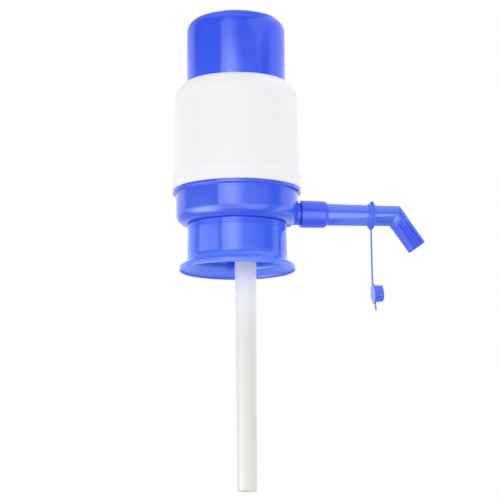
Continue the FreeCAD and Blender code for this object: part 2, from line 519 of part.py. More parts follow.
# straight outlet end, a hair thinner than the leg, and its slightly wider mouth
trim_at = elbow + leg_dir * (LEG_LEN - OUTLET_LEN)
leg_side = V(math.sin(leg), 0, math.cos(leg))
trim = Part.Face(profile_wire(
    [(-0.6, PIPE_R1 + 0.01), (0.0, OUTLET_R), (OUTLET_LEN - OUTLET_EDGE, OUTLET_R),
     (OUTLET_LEN - 0.3 * OUTLET_EDGE, OUTLET_R - 0.3 * OUTLET_EDGE), (OUTLET_LEN, OUTLET_R - OUTLET_EDGE),
     (OUTLET_LEN + 5.0, OUTLET_R - OUTLET_EDGE), (OUTLET_LEN + 5.0, 10.0), (-0.6, 10.0)],
    lambda t, r: trim_at + leg_dir * t + leg_side * r)).revolve(trim_at, leg_dir, 360)
pipe = pipe.cut(trim)
pipe = pipe.cut(cyl(OUTLET_BORE_R, OUTLET_BORE_LEN + 5.0, elbow + leg_dir * (LEG_LEN - OUTLET_BORE_LEN), leg_dir))
keep("spout_tube", pipe)
OUTLET = elbow + leg_dir * LEG_LEN

# ----------------------------------------------------------------------------
# dust cap on its strap: ring round the spout, strap, cap
# ----------------------------------------------------------------------------
ring = lathe_x([(RING_X0, RING_R_IN), (RING_X0, RING_R_BAND, 0.25), (RING_STEP_X, RING_R_BAND),
                (RING_STEP_X + 0.2, RING_R_BEAD, 0.35), (RING_X1, RING_R_BEAD, 0.5), (RING_X1, RING_R_IN)])
# lifting lug on top, round over its top
lw = LUG_W / 2
lug_z = SPOUT_Z + LUG_TOP_R - lw
lug = Part.Face(Part.Wire([
    Part.makeLine(V(LUG_X - lw, 0, SPOUT_Z + 6.5), V(LUG_X + lw, 0, SPOUT_Z + 6.5)),
    Part.makeLine(V(LUG_X + lw, 0, SPOUT_Z + 6.5), V(LUG_X + lw, 0, lug_z)),
    Part.Arc(V(LUG_X + lw, 0, lug_z), V(LUG_X, 0, lug_z + lw), V(LUG_X - lw, 0, lug_z)).toShape(),
    Part.makeLine(V(LUG_X - lw, 0, lug_z), V(LUG_X - lw, 0, SPOUT_Z + 6.5))])).extrude(V(0, 3.0, 0))
lug.translate(V(0, -1.5, 0))
# tapered root that runs down into the strap
half_t = STRAP_T / 2
strap_top = FLEX_TOP_Z + half_t
root_face = Part.Face(Part.makePolygon([
    V(RING_X0 + 0.1, 0, SPOUT_Z - RING_R_BAND + 0.15), V(RING_X1 - 0.1, 0, SPOUT_Z - RING_R_BAND + 0.15),
    V(RING_X1 - 0.1, 0, SPOUT_Z - RING_R_BAND - 0.35),
    V(STRAP_X + half_t + 0.05, 0, strap_top + FLEX_GAP), V(STRAP_X - half_t - 0.05, 0, strap_top + FLEX_GAP),
    V(RING_X0 + 0.1, 0, SPOUT_Z - RING_R_BAND - 0.35),
    V(RING_X0 + 0.1, 0, SPOUT_Z - RING_R_BAND + 0.15)]))
root = root_face.extrude(V(0, 2.4, 0))
root.translate(V(0, -1.2, 0))
hub = ring.fuse([lug, root])
hub = hub.cut(lathe_x([(RING_X0 - 3, 0), (RING_X0 - 3, RING_R_IN), (RING_X1 + 3, RING_R_IN), (RING_X1 + 3, 0)]))
keep("strap_ring", hub)

# strap: straight, then a slow curve towards +X; both ends are half round about
# their flex lines
drop_z = STRAP_STRAIGHT_Z - FLEX_LOW_Z
bend = 2.0 * math.atan(STRAP_DRIFT / drop_z)          # angle turned by the lower end
bend_r = drop_z / math.sin(bend)
bend_c = V(STRAP_X + bend_r, 0, STRAP_STRAIGHT_Z)


def on_bend(r, ang):
    return bend_c + V(-r * math.cos(ang), 0, -r * math.sin(ang))


low_flex = on_bend(bend_r, bend)
low_dir = V(math.sin(bend), 0, -math.cos(bend))
left_r, right_r = bend_r + half_t, bend_r - half_t
strap_wire = Part.Wire([
    Part.makeLine(V(STRAP_X - half_t, 0, FLEX_TOP_Z), V(STRAP_X - half_t, 0, STRAP_STRAIGHT_Z)),
    Part.Arc(on_bend(left_r, 0), on_bend(left_r, bend / 2), on_bend(left_r, bend)).toShape(),
    Part.Arc(on_bend(left_r, bend), low_flex + low_dir * half_t, on_bend(right_r, bend)).toShape(),
    Part.Arc(on_bend(right_r, bend), on_bend(right_r, bend / 2), on_bend(right_r, 0)).toShape(),
    Part.makeLine(V(STRAP_X + half_t, 0, STRAP_STRAIGHT_Z), V(STRAP_X + half_t, 0, FLEX_TOP_Z)),
    Part.Arc(V(STRAP_X + half_t, 0, FLEX_TOP_Z), V(STRAP_X, 0, strap_top),
             V(STRAP_X - half_t, 0, FLEX_TOP_Z)).toShape()])
strap = Part.Face(strap_wire).extrude(V(0, STRAP_W, 0))
strap.translate(V(0, -STRAP_W / 2, 0))
keep("cap_strap", strap)

# dust cap, drawn hanging straight down from the lower flex line, then tilted
cx = low_flex.x
dx0 = cx - 0.55
cap_face = lathe_x([(dx0, 0), (dx0, CAP_DISC_R, 0.35), (dx0 + CAP_DISC_T, CAP_DISC_R, 0.35),
                    (dx0 + CAP_DISC_T, PLUG_R, 0.0), (dx0 + CAP_DISC_T + PLUG_LEN, PLUG_R, 1.0),
                    (dx0 + CAP_DISC_T + PLUG_LEN, PLUG_R - 1.3, 0.3), (dx0 + CAP_DISC_T + 0.6, PLUG_R - 1.3),
                    (dx0 + CAP_DISC_T + 0.6, 0)], zc=CAP_DISC_Z)
neck_top = FLEX_LOW_Z - half_t - FLEX_GAP
neck = Part.makeBox(STRAP_T, STRAP_W, neck_top - (CAP_DISC_Z + CAP_DISC_R - 1.2),
                    V(cx - half_t, -STRAP_W / 2, CAP_DISC_Z + CAP_DISC_R - 1.2))
tab = Part.makeBox(TAB_T, TAB_W, (CAP_DISC_Z - CAP_DISC_R + 1.2) - TAB_BOTTOM, V(dx0 + 0.45, -TAB_W / 2, TAB_BOTTOM))
tab = tab.makeFillet(0.9, [e for e in tab.Edges if abs(e.Length - TAB_T) < 0.01 and e.CenterOfMass.z < TAB_BOTTOM + 0.1])
dust = cap_face.fuse([neck, tab])
dust.rotate(low_flex, V(0, 1, 0), -DUST_CAP_TILT)
keep("dust_cap", dust)

# ----------------------------------------------------------------------------
# write one STEP per node
# ----------------------------------------------------------------------------
os.makedirs("parts", exist_ok=True)
for name in sorted(PARTS):
    s = PARTS[name]
    solids = s.Solids
    ok = all(o.isValid() for o in solids)
    b = s.BoundBox
    print("%-20s solids %d valid %s vol %9.1f  x %.1f..%.1f y %.1f..%.1f z %.1f..%.1f" % (
        name, len(solids), ok, s.Volume, b.XMin, b.XMax, b.YMin, b.YMax, b.ZMin, b.ZMax))
    s.exportStep("parts/%s.step" % name)
print("cap top %.2f  outlet %.2f %.2f" % (CAP_TOP, OUTLET.x, OUTLET.z))
print("lower flex line %.3f %.3f" % (low_flex.x, low_flex.z))
print("bellows z %.2f..%.2f spring z %.2f..%.2f" % (BEL_Z0, BEL_Z1, SPRING_Z0, SPRING_Z1))
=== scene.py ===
import json
import math

import bmesh
import bpy
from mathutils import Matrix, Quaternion, Vector


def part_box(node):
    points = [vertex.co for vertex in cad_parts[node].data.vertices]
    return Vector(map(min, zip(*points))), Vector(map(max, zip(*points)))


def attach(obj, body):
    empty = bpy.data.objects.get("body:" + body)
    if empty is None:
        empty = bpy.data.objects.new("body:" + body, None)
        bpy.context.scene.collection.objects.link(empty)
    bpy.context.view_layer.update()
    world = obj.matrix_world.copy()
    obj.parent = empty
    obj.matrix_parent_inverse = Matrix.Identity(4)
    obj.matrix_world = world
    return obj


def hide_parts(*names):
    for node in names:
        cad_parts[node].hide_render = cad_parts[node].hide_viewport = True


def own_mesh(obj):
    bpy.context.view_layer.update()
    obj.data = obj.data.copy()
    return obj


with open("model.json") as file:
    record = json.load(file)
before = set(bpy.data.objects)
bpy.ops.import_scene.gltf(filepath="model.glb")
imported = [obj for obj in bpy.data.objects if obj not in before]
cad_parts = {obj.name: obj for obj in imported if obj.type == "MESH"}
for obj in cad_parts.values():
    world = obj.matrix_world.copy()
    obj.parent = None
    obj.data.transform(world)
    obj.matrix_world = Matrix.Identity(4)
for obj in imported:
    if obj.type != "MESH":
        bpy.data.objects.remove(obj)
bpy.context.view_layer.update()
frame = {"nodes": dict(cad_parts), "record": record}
NODES = frame["nodes"]
scene = bpy.context.scene

# ----------------------------------------------------------------------------
# camera: a little below the pump, looking up, slightly from the side away from
# the spout
# ----------------------------------------------------------------------------
AZ, EL, ROLL, DIST = math.radians(-9.0), math.radians(-9.8), math.radians(0.45), 1.3
back = Vector((math.sin(AZ) * math.cos(EL), -math.cos(AZ) * math.cos(EL), math.sin(EL)))
right = Vector((math.cos(AZ), math.sin(AZ), 0))
toward = Vector((math.sin(AZ), -math.cos(AZ), 0))
aim = right * 0.0079 + Vector((0, 0, -0.014))
cam_data = bpy.data.cameras.new("camera")
cam_data.lens = 151.26
cam_data.sensor_width = 36.0
cam_data.sensor_fit = "HORIZONTAL"
cam_data.clip_start, cam_data.clip_end = 0.01, 50
cam = bpy.data.objects.new("camera", cam_data)
scene.collection.objects.link(cam)
cam.location = aim + back * DIST
cam.rotation_mode = "QUATERNION"
cam.rotation_quaternion = (-back).to_track_quat("-Z", "Y") @ Quaternion((0, 0, 1), -ROLL)
scene.camera = cam

scene.view_settings.view_transform = "Standard"
scene.view_settings.look = "None"
scene.view_settings.exposure = 0.0
scene.view_settings.gamma = 1.0


# ----------------------------------------------------------------------------
# node helpers
# ----------------------------------------------------------------------------
def new_material(name):
    m = bpy.data.materials.new(name)
    m.use_nodes = True
    nt = m.node_tree
    bsdf = next(n for n in nt.nodes if n.type == "BSDF_PRINCIPLED")
    return m, nt, bsdf


def link(nt, a, b):
    nt.links.new(a, b)


def coords(nt, stretch=None):
    tc = nt.nodes.new("ShaderNodeTexCoord")
    if stretch is None:
        return tc.outputs["Object"]
    mp = nt.nodes.new("ShaderNodeMapping")
    mp.inputs["Scale"].default_value = stretch
    link(nt, tc.outputs["Object"], mp.inputs["Vector"])
    return mp.outputs["Vector"]


def noise(nt, scale, detail=2.0, rough=0.5, stretch=None, distortion=0.0):
    n = nt.nodes.new("ShaderNodeTexNoise")
    n.inputs["Scale"].default_value = scale
    n.inputs["Detail"].default_value = detail
    n.inputs["Roughness"].default_value = rough
    n.inputs["Distortion"].default_value = distortion
    link(nt, coords(nt, stretch), n.inputs["Vector"])
    return n.outputs["Fac"]


def ramp(nt, fac, lo, hi, a=(0, 0, 0, 1), b=(1, 1, 1, 1)):
    r = nt.nodes.new("ShaderNodeValToRGB")
    r.color_ramp.elements[0].position = lo
    r.color_ramp.elements[1].position = hi
    r.color_ramp.elements[0].color = a
    r.color_ramp.elements[1].color = b
    link(nt, fac, r.inputs["Fac"])
    return r.outputs["Color"]


def remap(nt, value, lo, hi, to_lo, to_hi, smooth=False):
    m = nt.nodes.new("ShaderNodeMapRange")
    if smooth:
        m.interpolation_type = "SMOOTHSTEP"
    m.inputs["From Min"].default_value = lo
    m.inputs["From Max"].default_value = hi
    m.inputs["To Min"].default_value = to_lo
    m.inputs["To Max"].default_value = to_hi
    link(nt, value, m.inputs["Value"])
    return m.outputs["Result"]


def math_node(nt, op, a, b=None):
    m = nt.nodes.new("ShaderNodeMath")
    m.operation = op
    for i, v in enumerate((a, b)):
        if v is None:
            continue
        if isinstance(v, (int, float)):
            m.inputs[i].default_value = v
        else:
            link(nt, v, m.inputs[i])
    return m.outputs[0]


def bump(nt, height, strength, distance, normal=None):
    b = nt.nodes.new("ShaderNodeBump")
    b.inputs["Strength"].default_value = strength
    b.inputs["Distance"].default_value = distance
    link(nt, height, b.inputs["Height"])
    if normal is not None:
        link(nt, normal, b.inputs["Normal"])
    return b.outputs["Normal"]


# ----------------------------------------------------------------------------
# materials
# ----------------------------------------------------------------------------
def plastic(name, low, high, rough_lo, rough_hi, wave=0.00003, wave_scale=28.0, grain=0.0, grain_scale=2500.0,
            sss=0.0, sss_radius=(1, 1, 1), sss_scale=0.002, ior=1.5, flow=0.0, stretch=(1, 1, 0.12), scratch=0.0,
            painted_light_and_shade_by_height=None, tint=(0.95, 1.0, 1.0)):
    """Moulded plastic.  Colour: slow cloudy variation and faint flow streaks of the
    pigment.  Gloss: uneven, with hair-fine handling marks.  Surface: the slight
    waviness of a moulding and, where asked for, a fine spark-eroded grain."""
    m, nt, p = new_material(name)
    p.inputs["IOR"].default_value = ior
    if low[2] > 2 * low[0]:
        # the blue pigment near the surface tints the gloss a little
        p.inputs["Specular Tint"].default_value = (*tint, 1)
    cloud = noise(nt, 22.0, 3.0)
    if flow:
        streak = noise(nt, 120.0, 3.0, 0.6, stretch=stretch, distortion=0.4)
        cloud = math_node(nt, "ADD", math_node(nt, "MULTIPLY", cloud, 1.0 - flow), math_node(nt, "MULTIPLY", streak, flow))
    colour = ramp(nt, cloud, 0.32, 0.68, (*low, 1), (*high, 1))
    if painted_light_and_shade_by_height:
        # painted light and shade by height: a second shade blended in between two heights, paler where it stands in
        # for light, darker where it stands in for shade: (height where it starts, height where it is full, colour)
        sep = nt.nodes.new("ShaderNodeSeparateXYZ")
        link(nt, coords(nt), sep.inputs[0])
        m2 = nt.nodes.new("ShaderNodeMix")
        m2.data_type = "RGBA"
        link(nt, remap(nt, sep.outputs["Z"], painted_light_and_shade_by_height[0], painted_light_and_shade_by_height[1], 0, 1, True), m2.inputs["Factor"])
        link(nt, colour, m2.inputs["A"])
        m2.inputs["B"].default_value = (*painted_light_and_shade_by_height[2], 1)
        colour = m2.outputs["Result"]
    link(nt, colour, p.inputs["Base Color"])
    gloss = remap(nt, noise(nt, 60.0, 4.0, 0.6), 0.3, 0.7, rough_lo, rough_hi)
    if scratch:
        marks = remap(nt, noise(nt, 900.0, 2.0, 0.7, stretch=(1.0, 1.0, 0.06), distortion=0.8), 0.60, 0.72, 0.0, scratch)
        gloss = math_node(nt, "ADD", gloss, marks)
    link(nt, gloss, p.inputs["Roughness"])
    wavy = bump(nt, noise(nt, wave_scale, 1.0), 1.0, wave)
    if grain:
        wavy = bump(nt, noise(nt, grain_scale, 2.0), 1.0, grain, wavy)
    link(nt, wavy, p.inputs["Normal"])
    if sss:
        p.inputs["Subsurface Weight"].default_value = sss
        p.inputs["Subsurface Radius"].default_value = sss_radius
        p.inputs["Subsurface Scale"].default_value = sss_scale
    return m


def metal(name, low, high, rough_lo, rough_hi):
    m, nt, p = new_material(name)
    p.inputs["Metallic"].default_value = 1.0
    link(nt, ramp(nt, noise(nt, 300.0, 3.0), 0.3, 0.7, (*low, 1), (*high, 1)), p.inputs["Base Color"])
    drawn = noise(nt, 1800.0, 3.0, 0.7, stretch=(1, 1, 0.2))
    link(nt, remap(nt, drawn, 0.3, 0.7, rough_lo, rough_hi), p.inputs["Roughness"])
    link(nt, bump(nt, drawn, 1.0, 0.000004), p.inputs["Normal"])
    return m


BLUE_LO, BLUE_HI = (0.036, 0.097, 0.88), (0.041, 0.106, 0.94)
MAT = {
    "blue_plastic": plastic("blue_plastic", BLUE_LO, BLUE_HI, 0.09, 0.14, flow=0.35, scratch=0.10),
    # painted light: a paler blue at the body's bottom edge lifts the shade in the seam above the collar
    "blue_body": plastic("blue_body", (0.037, 0.108, 0.83), (0.042, 0.118, 0.89), 0.09, 0.14, flow=0.35, scratch=0.10,
                         painted_light_and_shade_by_height=(0.0036, 0.0024, (0.077, 0.152, 0.90))),
    # the collar's base is a shade paler and greener than the cap's, partly its own moulding and partly painted light
    # for the brighter light it catches from below; painted light: the flare low on the collar is paler still
    "blue_collar": plastic("blue_collar", (0.037, 0.124, 0.89), (0.042, 0.134, 0.94), 0.09, 0.14, flow=0.35, scratch=0.10,
                           painted_light_and_shade_by_height=(-0.0165, -0.0215, (0.104, 0.22, 0.985))),
    # painted light: the jaws are a paler blue than the rest of the same plastic, standing in for light inside the
    # collar's shaded recess
    "blue_jaw_painted_light": plastic("blue_jaw_painted_light", (0.13, 0.27, 0.97), (0.145, 0.285, 0.985), 0.28, 0.36, flow=0.3, grain=0.000006),
    # its base is paler and greener than the nut's, partly its own colour and partly painted reflection for the bright
    # band along the pipe; painted shade: a darker blue on the pipe's lower side and on the leg
    "blue_spout": plastic("blue_spout", (0.068, 0.146, 0.87), (0.078, 0.158, 0.92), 0.11, 0.17, flow=0.4,
                          stretch=(0.12, 1, 1), scratch=0.06, ior=1.70, tint=(0.78, 1.0, 1.0),
                          painted_light_and_shade_by_height=(0.0078, 0.0005, (0.034, 0.086, 0.89))),
    "blue_nut": plastic("blue_nut", (0.038, 0.092, 0.86), (0.044, 0.102, 0.91), 0.14, 0.20, flow=0.4,
                        stretch=(0.12, 1, 1), scratch=0.06, ior=1.56, tint=(0.85, 1.0, 1.0)),
    "blue_soft": plastic("blue_soft", (0.075, 0.15, 0.82), (0.085, 0.165, 0.87), 0.24, 0.32, ior=1.33,
                         sss=0.15, sss_radius=(0.4, 0.5, 1.0), sss_scale=0.001),
    "white_plastic": plastic("white_plastic", (0.895, 0.895, 0.934), (0.915, 0.915, 0.95), 0.50, 0.58, grain=0.000005, flow=0.3,
                             ior=1.36, sss=0.25, sss_radius=(1.0, 1.0, 1.1), sss_scale=0.003),
    "inner_plastic": plastic("inner_plastic", (0.76, 0.76, 0.76), (0.80, 0.80, 0.80), 0.35, 0.45, flow=0.3),
    "bellows_plastic": plastic("bellows_plastic", (0.78, 0.78, 0.76), (0.82, 0.82, 0.80), 0.38, 0.48, grain=0.00001,
                               sss=0.3, sss_radius=(1.0, 1.0, 0.95), sss_scale=0.002),
    "spring_steel": metal("spring_steel", (0.55, 0.55, 0.57), (0.64, 0.64, 0.66), 0.18, 0.30),
    "screw_steel": metal("screw_steel", (0.55, 0.55, 0.57), (0.62, 0.62, 0.64), 0.20, 0.32),
    "valve_rubber": plastic("valve_rubber", (0.66, 0.66, 0.64), (0.72, 0.72, 0.70), 0.45, 0.55, grain=0.000008,
                            sss=0.4, sss_radius=(1, 1, 0.95), sss_scale=0.001),
    "seal_rubber": plastic("seal_rubber", (0.62, 0.62, 0.60), (0.68, 0.68, 0.66), 0.50, 0.60, grain=0.00001,
                           sss=0.2, sss_scale=0.001),
    # painted light: the tube is paler towards its top under the collar, lifting the shade cast by the flange
    "tube_plastic": plastic("tube_plastic", (0.700, 0.698, 0.672), (0.738, 0.736, 0.708), 0.30, 0.40, grain=0.000006, flow=0.5,
                            stretch=(1, 1, 0.05), sss=0.2, sss_radius=(1.0, 1.0, 1.0), sss_scale=0.001,
                            painted_light_and_shade_by_height=(-0.075, -0.030, (0.97, 0.97, 0.985))),
}
OWN = {"pump_body": "blue_body", "neck_collar": "blue_collar", "spout_tube": "blue_spout", "union_nut": "blue_nut", "neck_jaw_1": "blue_jaw_painted_light", "neck_jaw_2": "blue_jaw_painted_light",
       "neck_jaw_3": "blue_jaw_painted_light", "neck_jaw_4": "blue_jaw_painted_light"}

slot_of = {s["node"]: s["material_slot"] for s in frame["record"]["subparts"]}
for name, obj in NODES.items():
    mat = MAT[OWN.get(name, slot_of[name])]
    if not obj.data.materials:
        obj.data.materials.append(mat)
    for i in range(len(obj.data.materials)):
        obj.data.materials[i] = mat

# ----------------------------------------------------------------------------
# bellows and return spring, modelled as they are
# ----------------------------------------------------------------------------
BEL_LO, BEL_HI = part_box("bellows")
SPR_LO, SPR_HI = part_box("return_spring")


def add_object(name, bm, material, smooth=True):
    me = bpy.data.meshes.new(name)
    bmesh.ops.recalc_face_normals(bm, faces=bm.faces)
    bm.to_mesh(me)
    bm.free()
    for f in me.polygons:
        f.use_smooth = smooth
    me.materials.append(material)
    o = bpy.data.objects.new(name, me)
    scene.collection.objects.link(o)
    return o


def lathe(profile, n=160, wobble=None):
    """Closed ring mesh of a closed profile of (r, z) turned about Z."""
    bm = bmesh.new()
    rings = []
    for i in range(n):
        a = 2 * math.pi * i / n
        rings.append([bm.verts.new(((r + (wobble(a, z) if wobble else 0)) * math.cos(a),
                                    (r + (wobble(a, z) if wobble else 0)) * math.sin(a), z)) for r, z in profile])
    m = len(profile)
    for i in range(n):
        p, q = rings[i], rings[(i + 1) % n]
        for k in range(m):
            bm.faces.new((p[k], p[(k + 1) % m], q[(k + 1) % m], q[k]))
    return bm


def rounded(points, steps=6):
    """Polyline with each corner (r, z, radius) turned into a short arc."""
    out = []
    n = len(points)
    for i, p in enumerate(points):
        r = p[2] if len(p) > 2 else 0
        a, b = Vector(points[i - 1][:2]), Vector(points[(i + 1) % n][:2])
        c = Vector(p[:2])
        if r <= 0:
            out.append((c.x, c.y))
            continue
        u, w = (a - c).normalized(), (b - c).normalized()
        half = u.angle(w) / 2
        d = min(r / math.tan(half), (a - c).length * 0.45, (b - c).length * 0.45)
        s, e = c + u * d, c + w * d
        for k in range(steps + 1):
            t = k / steps
            q = s * (1 - t) ** 2 + c * 2 * t * (1 - t) + e * t ** 2
            out.append((q.x, q.y))
    return out


def bellows_profile():
    z0, z1 = BEL_LO[2], BEL_HI[2]
    mm = 0.001
    r_out, r_in, wall, flange = 28.2 * mm, 22.8 * mm, 1.1 * mm, 1.2 * mm
    n = 5
    lo, hi = z0 + flange + 2.2 * mm, z1 - flange - 2.2 * mm
    pitch = (hi - lo) / n
    outer = [(34.5 * mm, z0), (34.5 * mm, z0 + flange), (r_in + wall, z0 + flange, 0.4 * mm), (r_in + wall, lo - 0.2 * mm, 0.4 * mm)]
    for k in range(n):
        outer.append((r_out, lo + pitch * (k + 0.5), 1.3 * mm))
        if k < n - 1:
            outer.append((r_in + wall, lo + pitch * (k + 1), 0.8 * mm))
    outer += [(r_in + wall, hi + 0.2 * mm, 0.4 * mm), (r_in + wall, z1 - flange, 0.4 * mm), (33.1 * mm, z1 - flange), (33.1 * mm, z1)]
    inner = [(r_in, z1), (r_in, hi + 0.4 * mm, 0.4 * mm)]
    for k in reversed(range(n)):
        inner.append((r_out - wall * 1.3, lo + pitch * (k + 0.5), 0.9 * mm))
        if k > 0:
            inner.append((r_in, lo + pitch * k, 0.8 * mm))
    inner += [(r_in, lo - 0.4 * mm, 0.4 * mm), (r_in, z0)]
    return rounded(outer + inner)


def drill(obj, holes, radius, depth):
    """Through holes along Z, cut with a boolean and applied."""
    bm = bmesh.new()
    for x, y, z in holes:
        r = bmesh.ops.create_cone(bm, cap_ends=True, segments=32, radius1=radius, radius2=radius, depth=depth)
        bmesh.ops.translate(bm, verts=r["verts"], vec=(x, y, z))
    cutter = add_object(obj.name + "_cutter", bm, obj.data.materials[0])
    mod = obj.modifiers.new("holes", "BOOLEAN")
    mod.object = cutter
    mod.operation = "DIFFERENCE"
    mod.solver = "EXACT"
    bpy.context.view_layer.update()
    me = bpy.data.meshes.new_from_object(obj.evaluated_get(bpy.context.evaluated_depsgraph_get()))
    obj.modifiers.clear()
    obj.data = me
    bpy.data.objects.remove(cutter)


bellows = add_object("bellows_folds", lathe(bellows_profile(), 160), MAT["bellows_plastic"])
screw_at = [(0.0319 * math.cos(math.radians(a)), 0.0319 * math.sin(math.radians(a))) for a in (45, 135, 225, 315)]
drill(bellows, [(x, y, BEL_LO[2] + 0.0006) for x, y in screw_at] + [(x, y, BEL_HI[2] - 0.0006) for x, y in screw_at],
      0.00145, 0.004)
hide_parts("bellows")
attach(bellows, "housing")


def coil():
    """Round wire coil with closed ends, from one seat to the other."""
    mm = 0.001
    wire, radius = 0.78 * mm, 14.0 * mm
    z0, z1 = SPR_LO[2] + wire + 0.01 * mm, SPR_HI[2] - wire - 0.01 * mm
    closed, active = 1.25, 8.0
    turns = 2 * closed + active
    close_pitch = 1.62 * mm
    rise = (z1 - z0) - 2 * closed * close_pitch
    per_turn, sides = 56, 14
    n = int(turns * per_turn)
    centre = []
    for i in range(n + 1):
        t = turns * i / n
        if t < closed:
            z = z0 + t * close_pitch
        elif t > turns - closed:
            z = z1 - (turns - t) * close_pitch
        else:
            z = z0 + closed * close_pitch + rise * (t - closed) / active
        centre.append((t, z))
    # ease the change of pitch
    zs = [z for _, z in centre]
    for _ in range(60):
        zs = [zs[0]] + [0.25 * zs[i - 1] + 0.5 * zs[i] + 0.25 * zs[i + 1] for i in range(1, n)] + [zs[-1]]
    pts = [Vector((radius * math.cos(2 * math.pi * t), radius * math.sin(2 * math.pi * t), z)) for (t, _), z in zip(centre, zs)]
    bm = bmesh.new()
    rings = []
    for i, p in enumerate(pts):
        tan = (pts[min(i + 1, n)] - pts[max(i - 1, 0)]).normalized()
        out = Vector((p.x, p.y, 0)).normalized()
        side = tan.cross(out).normalized()
        out = side.cross(tan).normalized()
        rings.append([bm.verts.new(p + (out * math.cos(a) + side * math.sin(a)) * wire)
                      for a in (2 * math.pi * k / sides for k in range(sides))])
    for p, q in zip(rings[:-1], rings[1:]):
        for k in range(sides):
            bm.faces.new((p[k], p[(k + 1) % sides], q[(k + 1) % sides], q[k]))
    bm.faces.new(rings[0])
    bm.faces.new(list(reversed(rings[-1])))
    return bm


spring = add_object("return_spring_coil", coil(), MAT["spring_steel"])
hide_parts("return_spring")
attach(spring, "housing")
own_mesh(bellows)
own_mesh(spring)

# ----------------------------------------------------------------------------
# studio: white surroundings, pale floor, and a tent of cards round the pump
# that its glossy surfaces reflect
# ----------------------------------------------------------------------------
world = bpy.data.worlds.new("studio")
scene.world = world
world.use_nodes = True
bg = world.node_tree.nodes["Background"]
bg.inputs["Color"].default_value = (1, 1, 1, 1)
bg.inputs["Strength"].default_value = 1.0
world.cycles_visibility.glossy = False

# floor, well under the pump
me = bpy.data.meshes.new("floor")
s = 8.0
me.from_pydata([(-s, -s, 0), (s, -s, 0), (s, s, 0), (-s, s, 0)], [], [(0, 1, 2, 3)])
floor = bpy.data.objects.new("floor", me)
scene.collection.objects.link(floor)
floor.location = (0, 0, -0.36)
fm, fnt, fp = new_material("floor_paper")
fp.inputs["Roughness"].default_value = 0.9
fp.inputs["Specular IOR Level"].default_value = 0.2
paper = ramp(fnt, noise(fnt, 3.0, 4.0), 0.3, 0.7, (0.86, 0.86, 0.86, 1), (0.89, 0.89, 0.89, 1))
reach = fnt.nodes.new("ShaderNodeVectorMath")
reach.operation = "LENGTH"
link(fnt, coords(fnt), reach.inputs[0])
far = fnt.nodes.new("ShaderNodeMix")
far.data_type = "RGBA"
link(fnt, remap(fnt, reach.outputs["Value"], 1.2, 4.5, 0, 1, True), far.inputs["Factor"])
link(fnt, paper, far.inputs["A"])
far.inputs["B"].default_value = (0.985, 0.985, 0.985, 1)
link(fnt, far.outputs["Result"], fp.inputs["Base Color"])
link(fnt, bump(fnt, noise(fnt, 900.0, 3.0), 0.3, 0.0002), fp.inputs["Normal"])
me.materials.append(fm)
floor.visible_glossy = False


# the tent: a sphere of cards seen only by glossy reflections
TENT_C = Vector((0, 0, 0.06))
bm = bmesh.new()
bmesh.ops.create_uvsphere(bm, u_segments=96, v_segments=48, radius=0.8)
tm = bpy.data.materials.new("tent_cards")
tm.use_nodes = True
tt = tm.node_tree
tt.nodes.clear()
out = tt.nodes.new("ShaderNodeOutputMaterial")
em = tt.nodes.new("ShaderNodeEmission")
link(tt, em.outputs[0], out.inputs["Surface"])
tc = tt.nodes.new("ShaderNodeTexCoord")


def dot(vec):
    n = tt.nodes.new("ShaderNodeVectorMath")
    n.operation = "DOT_PRODUCT"
    link(tt, tc.outputs["Object"], n.inputs[0])
    n.inputs[1].default_value = vec
    return n.outputs["Value"]


az = math_node(tt, "MULTIPLY", math_node(tt, "ARCTAN2", dot(right), dot(toward)), 180 / math.pi)
el = math_node(tt, "MULTIPLY", math_node(tt, "ARCSINE", math_node(tt, "DIVIDE", dot((0, 0, 1)), 0.8)), 180 / math.pi)


def up(v, a, b):
    return remap(tt, v, a, b, 0, 1, True)


def window(v, a0, a1, b0, b1):
    """0 before a0, 1 from a1 to b0, 0 after b1."""
    return math_node(tt, "MULTIPLY", up(v, a0, a1), remap(tt, v, b0, b1, 1, 0, True))


def times(*vs):
    r = vs[0]
    for v in vs[1:]:
        r = math_node(tt, "MULTIPLY", r, v)
    return r


def plus(*vs):
    r = vs[0]
    for v in vs[1:]:
        r = math_node(tt, "ADD", r, v)
    return r


def inv(v):
    return math_node(tt, "SUBTRACT", 1.0, v)


def mix(a, b, mask):
    """a where mask is 0, b where it is 1; a and b may be numbers."""
    m = tt.nodes.new("ShaderNodeMix")
    m.data_type = "FLOAT"
    link(tt, mask, m.inputs["Factor"])
    for key, v in (("A", a), ("B", b)):
        if isinstance(v, (int, float)):
            m.inputs[key].default_value = v
        else:
            link(tt, v, m.inputs[key])
    return m.outputs["Result"]


# height of the room: quiet above the lamp, paler near the table and at the ceiling
level = plus(remap(tt, el, 15.5, 19.3, 0.65, 0.06, True), remap(tt, el, 7.5, 4.8, 0.0, 0.35, True),
             remap(tt, el, 42, 66, 0.0, 0.9, True))
# white walls at both sides and behind, their front edges a little slanted
right_edge = plus(az, remap(tt, el, 14.5, 20.0, 0.0, 23.0))
left_wall = remap(tt, az, -114, -109, 1, 0, True)
right_wall = up(right_edge, 87, 93)
low = remap(tt, el, 21, 34, 1.0, 0.45, True)
level = mix(level, times(low, remap(tt, el, 16.0, 19.0, 1.5, 0.95)), plus(left_wall, right_wall))
level = times(level, remap(tt, window(az, 58, 66, 82, 88), 0, 1, 1.0, 0.45))
